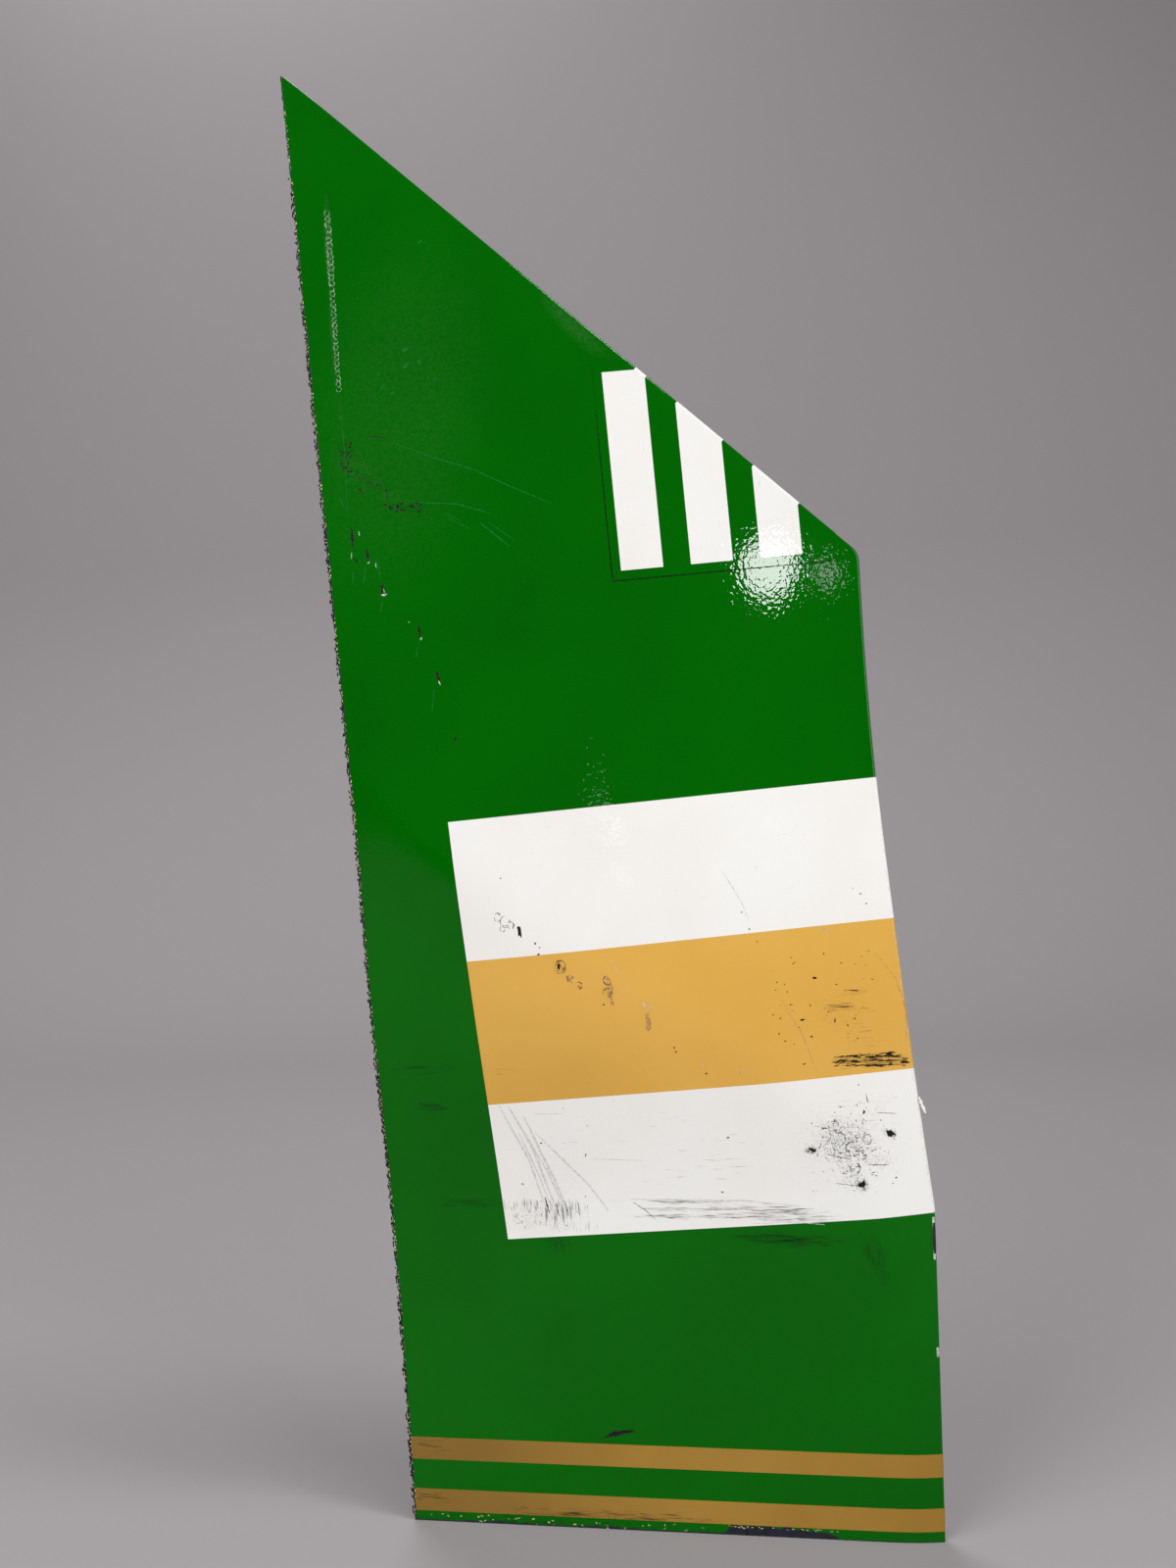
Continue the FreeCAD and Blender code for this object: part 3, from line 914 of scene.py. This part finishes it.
black_on_green = fleck_parts([
    (-89, 362.5, 8.6, 1.3, 92), (-84, 356.5, 4.8, 1.3, 98), (-79, 344, 4.8, 1.5, 98),
    (-88, 354.5, 2.6, 0.9, 120), (-66.5, 328.5, 4.8, 1.2, 95), (-60.5, 312.5, 5.4, 1.3, 102),
    (-55, 290, 2.2, 1.3, 90), (-6, 35.5, 9.0, 2.3, 12), (-2, 36.5, 5, 1.4, 4),
    (-9, 34.5, 3.4, 1.0, 20),
], GREEN_MARK_LIFT + MARK_STEP, 1)
for amount, across, upward, longest, seed, lean in (
    (60, (-92, -88), (384, 397), 1.7, 2, ANY_WAY),
    (44, (-88, -76), (376, 385), 1.4, 3, ANY_WAY),
    (36, (-78, -64), (371, 375), 1.8, 4, (-20, 20)),
):
    spots = scattered(amount, across, upward, longest, seed, lean)
    black_on_green += fleck_parts(spots, GREEN_MARK_LIFT, seed)
black_on_green += stroke_parts([
    (0.5, (-82.5, 398.5), (-75.5, 397.5)),
    (0.7, (-12, 33.5), (-5, 35.5), (1, 36.5)),
], GREEN_MARK_LIFT, 5)
add_marks("black_gouges", black_on_green, rubber)

chips = fleck_parts([
    (-86.5, 364, 2.2, 0.5, 100), (-89.5, 356, 3, 0.4, 84), (-83.5, 353.5, 1.2, 0.8, 20),
    (-78.5, 342, 3.0, 0.9, 0), (-81, 352.5, 2.4, 0.4, 96), (-70, 332, 1.0, 0.4, 130),
    (-66, 326, 1.4, 0.8, 60), (-60, 310, 2.2, 0.7, 110), (-78.5, 343.5, 2.2, 0.4, 105),
], GREEN_MARK_LIFT + 2 * MARK_STEP, 6)
add_marks("torn_film_chips", chips, pale_chip)

scrapes = stroke_parts([
    (0.45, (-89, 352), (-89.5, 346.5)), (0.45, (-84.5, 353), (-85.5, 346)),
    (0.45, (-79, 340), (-80, 336)), (0.5, (-67, 325), (-68, 319.5)),
    (0.4, (-62, 308), (-63, 300)), (0.45, (-80.5, 355), (-79.5, 347.5)),
    (0.5, (-74, 396), (-60, 390.5), (-45, 385.5), (-33, 379.5), (-18, 373)),
    (0.5, (-65.5, 374.5), (-51.5, 373.5), (-40, 370)),
    (0.6, (-43.5, 366.5), (-33.5, 358)), (0.4, (-41, 367), (-31.5, 360)),
    (0.4, (-56, 370.5), (-50.5, 367.5)), (0.4, (-55, 368.5), (-47, 364.5)),
    (0.3, (-91.5, 408.5), (-90.5, 392), (-90.5, 372)), (0.4, (-93, 377), (-90.5, 371)),
], GREEN_MARK_LIFT, 8)
scrapes += fleck_parts([
    (-68, 428.5, 3.0, 1.3, 30), (-68, 423, 3.0, 1.3, 40), (-63, 424, 2.6, 1.4, 130),
    (-77.5, 420, 2.0, 0.8, 60), (-76.5, 415.5, 2.6, 0.9, 60), (-73, 413.5, 1.8, 0.8, 50),
    (-61.5, 466.5, 2.2, 1.0, 30), (-84, 447, 1, 0.5, 90), (-58, 418, 2, 0.5, 20),
], GREEN_MARK_LIFT, 9)
add_marks("pale_scrapes", scrapes, pale_green)

# Marks in the bands

black_on_bands = fleck_parts([
    (-34.5, 221, 6.0, 1.9, 97), (-29, 216.5, 1.2, 0.8, 100), (-27.5, 215, 1, 0.6, 0),
    (-28, 212.5, 1.4, 0.9, 30), (-40.5, 240, 0.8, 0.7, 0), (-21, 208, 2.6, 1.6, 110),
    (-5.5, 194, 1, 0.7, 0), (19, 178, 1.3, 0.6, 110), (19.5, 176.5, 1.1, 0.7, 0),
    (30, 168.5, 1, 0.8, 0), (69.5, 201, 2.2, 1.1, 0), (64.5, 186.5, 2.2, 0.9, 5),
    (76, 186, 2.0, 0.7, 80), (67.5, 180.5, 1.3, 0.7, 0), (64.5, 171, 1.4, 0.6, 10),
    (60.5, 192, 0.9, 0.6, 0), (67.5, 191.5, 0.8, 0.6, 0), (79, 206, 0.8, 0.6, 0),
    (77, 198.5, 0.8, 0.5, 0), (56, 200, 0.7, 0.6, 0), (49.5, 214.5, 0.8, 0.5, 0),
    (87, 230, 0.9, 0.7, 0), (89, 226.5, 0.9, 0.7, 0), (84.5, 232, 0.5, 0.4, 0),
    (44.5, 225, 0.7, 0.6, 0), (47, 219, 0.9, 0.7, 0), (83.5, 163, 0.9, 0.6, 0),
    (85, 153.5, 2.2, 0.9, 70), (95.5, 130, 0.9, 0.7, 0), (37, 145, 1.3, 0.7, 10),
    (-30, 143, 1, 0.7, 0), (-14, 138.5, 1.6, 0.5, 70), (-37.5, 127.5, 1.3, 0.5, -30),
    (34.5, 125, 1.2, 0.7, 0), (-13, 149.5, 0.6, 0.5, 0), (-21.5, 156, 0.6, 0.4, 0),
    (94, 145.5, 4.0, 2.6, -20), (66.5, 140.5, 3.2, 1.4, -25), (83.5, 128, 3.6, 2.8, 50),
], MARK_LIFT, 11)
for amount, across, upward, longest, seed, lean, thinness in (
    (70, (54, 92), (178, 210), 0.9, 12, LEVEL, ROUNDISH),
    (90, (75, 101.5), (169, 174), 4.5, 13, LEVEL, (0.1, 0.25)),
    (90, (64, 96), (125, 156), 0.8, 14, ANY_WAY, ROUNDISH),
    (40, (-43, -14), (109, 123), 0.8, 15, (70, 110), ROUNDISH),
    (50, (-40, 98), (108, 250), 0.4, 16, ANY_WAY, ROUNDISH),
    (170, (68, 86), (136, 151), 1.7, 38, (60, 130), THIN),
    (90, (76, 92), (131, 141), 1.9, 39, LEVEL, THIN),
):
    spots = scattered(amount, across, upward, longest, seed, lean, thinness)
    black_on_bands += fleck_parts(spots, MARK_LIFT, seed)
black_on_bands += stroke_parts([
    (0.5, (80.5, 196.5), (85, 196)), (0.4, (75.5, 190.5), (83, 190.5)),
    (0.7, (75, 173), (88, 173.5)), (0.5, (88, 173), (100.5, 172)),
    (0.5, (80, 170), (100.5, 169.5)), (0.6, (86, 171.5), (100.5, 171)),
    (0.3, (71, 139), (80, 137)), (0.3, (85.5, 135), (93, 134.5)),
    (0.3, (89.5, 153), (96.5, 152.5)), (0.25, (74, 128.5), (82, 127.5)),
    (0.35, (2.5, 121), (7, 118), (10.5, 114.5)),
    (0.7, (-29.5, 122.5), (-28, 116.5)), (0.5, (-25.5, 120.5), (-24.5, 115.5)),
    (0.5, (-22.5, 121.5), (-21, 115.5)), (0.4, (-17.5, 121), (-17, 116)),
    (0.4, (86, 159.5), (86.5, 156.5)),
], MARK_LIFT, 17)
add_marks("black_rubs", black_on_bands, rubber)

grey_lines = stroke_parts([
    (1.0, (-44.5, 157), (-42, 151.5), (-35, 137.5), (-29.5, 119.5)),
    (1.4, (-41.5, 157), (-39, 152.5), (-33.5, 142), (-28.5, 127), (-25.5, 118.5)),
    (1.2, (-36, 153), (-34, 149), (-30.5, 140), (-25.5, 129), (-21.5, 117.5)),
    (0.9, (-32, 147), (-24, 138.5), (-13, 127), (-6, 117)),
    (0.9, (-34, 143), (-28, 132), (-23.5, 121), (-22, 116)),
    (0.7, (-38, 147), (-31, 130), (-26.5, 116)),
    (0.4, (-32.5, 154), (-21.5, 154)), (0.4, (-23, 143), (-16.5, 143.5)),
    (0.4, (28, 137), (34, 136.5)), (0.4, (-12, 137), (8, 136.5)),
    (0.4, (47, 222), (44.5, 229), (38, 240)), (0.5, (1.5, 122), (42.5, 122), (62, 120)),
    (0.5, (5, 118.5), (42.5, 119), (72, 116.5)), (0.5, (7.5, 115.5), (42, 116), (70, 113.5)),
], MARK_LIFT, 18)
add_marks("grey_rub_lines", grey_lines, grey_line)

scraped_gold = fleck_parts([
    (-3.5, 200.5, 9, 3.2, 95), (-2.5, 195, 5, 1.6, 105), (10, 187.5, 9, 2.6, 92),
    (-17.5, 203.5, 5, 2.0, 130), (-14, 200.5, 2.4, 1.6, 140),
], MARK_LIFT, 19)
scraped_gold += stroke_parts([
    (0.4, (57.5, 194), (60, 189), (64, 182), (66.5, 175), (69, 168)),
    (0.4, (91, 209.5), (98, 200), (101.5, 188.5), (101, 177.5)),
], MARK_LIFT, 20)
add_marks("scraped_gold", scraped_gold, pink_scrape)

bright_ticks = fleck_parts([
    (9, 193.5, 3.2, 0.7, 130), (11, 192, 2.6, 0.6, 60), (-4.5, 203.5, 1.6, 0.5, 70),
    (42, 169, 1.2, 0.8, 20), (-16.5, 203.5, 1.8, 0.6, 120), (29, 171.5, 2.5, 0.3, 100),
], MARK_LIFT + MARK_STEP, 21)
bright_ticks += stroke_parts([
    (0.35, (71, 219.5), (76, 216.5)), (0.3, (-2.5, 210), (0, 205.5)),
], MARK_LIFT, 22)
add_marks("bright_ticks", bright_ticks, pale_chip)

# Rings of lifted film: short dark curls round a bare middle

def ring_strokes(rings, seed):
    """Broken rings of fine dark lines. A ring is its x, z and radius."""
    random = np.random.default_rng(seed)
    strokes = []
    for x, z, radius in rings:
        for _ in range(5):
            start = random.uniform(0, 2 * math.pi)
            angles = start + np.linspace(0, random.uniform(0.8, 1.8), 5)
            reach = radius * random.uniform(0.7, 1.1)
            points = zip(x + reach * np.cos(angles), z + 1.2 * reach * np.sin(angles))
            strokes.append((0.3, *points))
    return strokes


streak = np.linspace(477, 415, 34)
whorls = ring_strokes([(-93.6 + 0.03 * (477 - z), z, 1.0 if z > 450 else 0.8) for z in streak], 27)
add_marks("whorled_streak", stroke_parts(whorls, GREEN_MARK_LIFT, 28), whorled)
rings = ring_strokes([
    (-42, 226, 1.4), (-39.5, 224.5, 1.7), (-37.5, 223, 1.2), (-40.5, 222, 1.0),
    (-20.5, 208, 2.2), (-17, 203.5, 1.1), (-14, 201, 1.1), (-4, 202.5, 1.4), (-4, 198.5, 1.5),
    (71, 146, 2.0), (76, 144, 2.2), (80, 141, 1.8), (81, 134, 2.0), (74, 149, 1.8), (86, 144, 1.6),
], 23)
add_marks("lifted_rings", stroke_parts(rings, MARK_LIFT, 24), rubber)

# The backing's cut outline, seen as a fine dark line just outside it

def backing_outline():
    """Fine dark dirt along the cut edge of the decal's backing."""
    margin = BACKING_MARGIN + 0.25 * MM
    far = BAR_PITCH * 2 + BAR_WIDTH + 12 * MM
    corner = DECAL_START - margin * ALONG - margin * UPWARD
    top = corner + 60 * MM * UPWARD
    end = corner + (far + margin) * ALONG
    return [(0.6, *(tuple(point / MM) for point in (top, corner, end)))]


outline = stroke_parts(backing_outline(), GREEN_MARK_LIFT, 25)
add_marks("backing_dirt_line", outline, dark_green_line)

# Torn flecks along the sawn edge and the foot

def sawn_flecks(random, count, z_range, x_range, lengths, width, tilt):
    """Small flecks along the sawn edge, a little to one side of it or the other."""
    heights = random.uniform(*z_range, count)
    sides = sawn_x(heights * MM) / MM + random.uniform(*x_range, count)
    return [
        (x, z, random.uniform(*lengths), width, random.uniform(*tilt))
        for x, z in zip(sides, heights)
    ]


def foot_flecks(random, count, x_range, z_range, lengths, width, tilt):
    """Small flecks along the foot."""
    return [
        (x, random.uniform(*z_range), random.uniform(*lengths), width, random.uniform(*tilt))
        for x in random.uniform(*x_range, count)
    ]


def torn_flecks(seed):
    """Pale flecks of torn film beside the sawn edge and the chipped foot."""
    random = np.random.default_rng(seed)
    spots = sawn_flecks(random, 460, (2, 515), (0.5, 1.15), (0.3, 1.3), 0.4, (60, 120))
    spots += foot_flecks(random, 34, (-82, 34), (0.5, 3.2), (0.4, 1.8), 0.6, (-30, 30))
    spots += foot_flecks(random, 26, (33, 72), (2.8, 3.6), (0.6, 2.0), 0.4, (-25, 10))
    return spots


def fibre_flecks(seed):
    """Dark laminate fibres that fray out along the sawn edge."""
    random = np.random.default_rng(seed)
    return sawn_flecks(random, 520, (3, 490), (-0.2, 0.55), (0.6, 2.2), 0.7, (80, 112))


torn_edge = mark_material("torn_edge", linear(208, 206, 150), linear(70, 84, 50), 0.5)
torn_edge_flecks = fleck_parts(torn_flecks(26), MARK_LIFT, 26)
add_marks("torn_edge_flecks", torn_edge_flecks, torn_edge)
frayed_fibres = fleck_parts(fibre_flecks(36), GREEN_MARK_LIFT, 37)
add_marks("frayed_fibres", frayed_fibres, rubber)


def turned_parts(lowest, highest, first, last, lift, seed):
    """A ragged patch on the turned right edge, between two heights and two angles."""
    random = np.random.default_rng(seed)
    count = 26
    heights = np.linspace(lowest, highest, count) * MM
    ends = np.stack([turn_x(heights), heights], 1)
    taper = np.sin(math.pi * np.linspace(0.04, 0.96, count)) ** 0.5
    spread = taper * random.uniform(0.7, 1.0, count)
    middle = (first + last) / 2
    angles = np.radians(middle + (last - first) / 2 * spread[:, None] * np.linspace(-1, 1, 8))
    radius = lift + TURN_DEPTH
    out = radius * np.where(angles > 0, np.sin(angles), angles)
    back = TURN_DEPTH - radius * np.where(angles > 0, np.cos(angles), 1.0)
    flat = ends[:, None] + turn_outward(heights)[:, None] * out[..., None]
    y = depth(ends[:, 0], ends[:, 1])[:, None] + back
    return np.stack([flat[..., 0], y, flat[..., 1]], -1).reshape(-1, 3), quads(count, 8)


notch_rim = [turned_parts(100.5, 115.5, -50, 75, GREEN_MARK_LIFT, 31)]
notch_rim.append(turned_parts(66, 69.5, -30, 60, GREEN_MARK_LIFT, 32))
add_marks("torn_notch_rim", notch_rim, pale_chip)
notch = [turned_parts(102.5, 113.5, -28, 80, GREEN_MARK_LIFT + 2 * MARK_STEP, 33)]
add_marks("torn_notch", notch, dark_paint)
hook = stroke_parts([
    (1.6, (104.7, 158), (105.5, 155.2), (106.9, 152.2)),
], MARK_LIFT, 34)
add_marks("peeled_hook", hook, white_film)
edge_heights = np.random.default_rng(35).uniform(117, 258, 50)
edge_spots = [(turn_x(z * MM) / MM + 0.4, z, 1.0, 0.3, 100) for z in edge_heights]
add_marks("edge_rubs", fleck_parts(edge_spots, MARK_LIFT, 35), grey_line)


# Stage, lights and camera

WALL_Y = 1.3
WALL_TOP = 4.0
COVE = 0.6
COVE_STEPS = 16
FLOOR_REACH = 8.0


def add_stage():
    """A plain pale floor that curves up into a plain backdrop well behind the panel."""
    profile = [(-FLOOR_REACH, 0.0)]
    for step in range(COVE_STEPS + 1):
        angle = math.pi / 2 * step / COVE_STEPS
        y = WALL_Y - COVE + COVE * math.sin(angle)
        profile.append((y, COVE - COVE * math.cos(angle)))
    profile.append((WALL_Y, WALL_TOP))
    sides = np.array([-FLOOR_REACH, FLOOR_REACH])
    points = np.array([[[x, y, z] for x in sides] for y, z in profile])
    mesh = bpy.data.meshes.new("floor")
    mesh.from_pydata(points.reshape(-1, 3).tolist(), [], quads(len(profile), 2).tolist())
    mesh.polygons.foreach_set("use_smooth", [True] * len(mesh.polygons))
    shader = Shader("floor")
    shader.feed("Base Color", linear(150, 146, 148))
    shader.feed("Roughness", 0.9)
    shader.feed("Specular IOR Level", 0.2)
    mesh.materials.append(shader.material)
    floor = bpy.data.objects.new("floor", mesh)
    bpy.context.scene.collection.objects.link(floor)


def add_area(name, place, target, size, power):
    """A round soft light that faces a target."""
    light = bpy.data.lights.new(name, "AREA")
    light.shape = "DISK"
    light.size = size
    light.energy = power
    lamp = bpy.data.objects.new(name, light)
    lamp.location = place
    lamp.visible_camera = False
    lamp.rotation_euler = (Vector(target) - Vector(place)).to_track_quat("-Z", "Y").to_euler()
    bpy.context.scene.collection.objects.link(lamp)
    return lamp


CAMERA_PLACE = Vector((4.3 * MM, -425 * MM, 277.7 * MM))
CAMERA_FORWARD = Vector((-0.0304, 0.9995, -0.0128))
CAMERA_ROLL = math.radians(1.97)
FOCAL_SHARE = 0.75


def add_camera():
    """A close wide camera, square to the panel and as high as its middle."""
    data = bpy.data.cameras.new("camera")
    data.sensor_fit = "VERTICAL"
    data.sensor_height = 24
    data.lens = 24 * FOCAL_SHARE
    data.clip_start = 0.01
    camera = bpy.data.objects.new("camera", data)
    aim = CAMERA_FORWARD.to_track_quat("-Z", "Y").to_matrix().to_4x4()
    roll = Matrix.Rotation(-CAMERA_ROLL, 4, "Z")
    camera.matrix_world = Matrix.Translation(CAMERA_PLACE) @ aim @ roll
    bpy.context.scene.collection.objects.link(camera)
    bpy.context.scene.camera = camera


GLINT_DISTANCE = 0.7


def add_glint(name, flat_point, size, power):
    """A small lamp, placed to show its reflection at a point of the panel."""
    x, z = flat_point
    here = Vector((x, float(depth(x, z)) - FILM_LIFT, z))
    step = 1 * MM
    slope_x = float(depth(x + step, z) - depth(x - step, z)) / (2 * step)
    slope_z = float(depth(x, z + step) - depth(x, z - step)) / (2 * step)
    normal = Vector((slope_x, -1, slope_z)).normalized()
    to_camera = (CAMERA_PLACE - here).normalized()
    away = 2 * normal.dot(to_camera) * normal - to_camera
    add_area(name, here + away * GLINT_DISTANCE, here, size, power)


add_stage()
add_camera()
add_area("key", (-1.3, -1.0, 0.8), (0, 0, 0.05), 1.5, 30)
add_area("fill", (1.5, -1.0, 0.7), (0, 0, 0.05), 1.3, 20)
add_area("top", (0.6, -0.25, 1.45), (0, 0, 0.25), 0.26, 7)
add_area("back", (-0.5, 1.0, 2.1), (0, 0, 0.25), 1.2, 24)
add_glint("ceiling_lamp", (59 * MM, 348 * MM), 0.05, 0.28)
add_glint("far_lamp", (80 * MM, 345 * MM), 0.02, 0.011)
add_glint("low_lamp", (0 * MM, 256 * MM), 0.014, 0.004)
add_glint("lowest_lamp", (2 * MM, 240 * MM), 0.012, 0.003)

world = bpy.data.worlds.new("studio")
world.use_nodes = True
world.node_tree.nodes["Background"].inputs["Color"].default_value = (1.0, 1.0, 1.0, 1.0)
world.node_tree.nodes["Background"].inputs["Strength"].default_value = 0.1
bpy.context.scene.world = world
bpy.context.scene.view_settings.view_transform = "Standard"
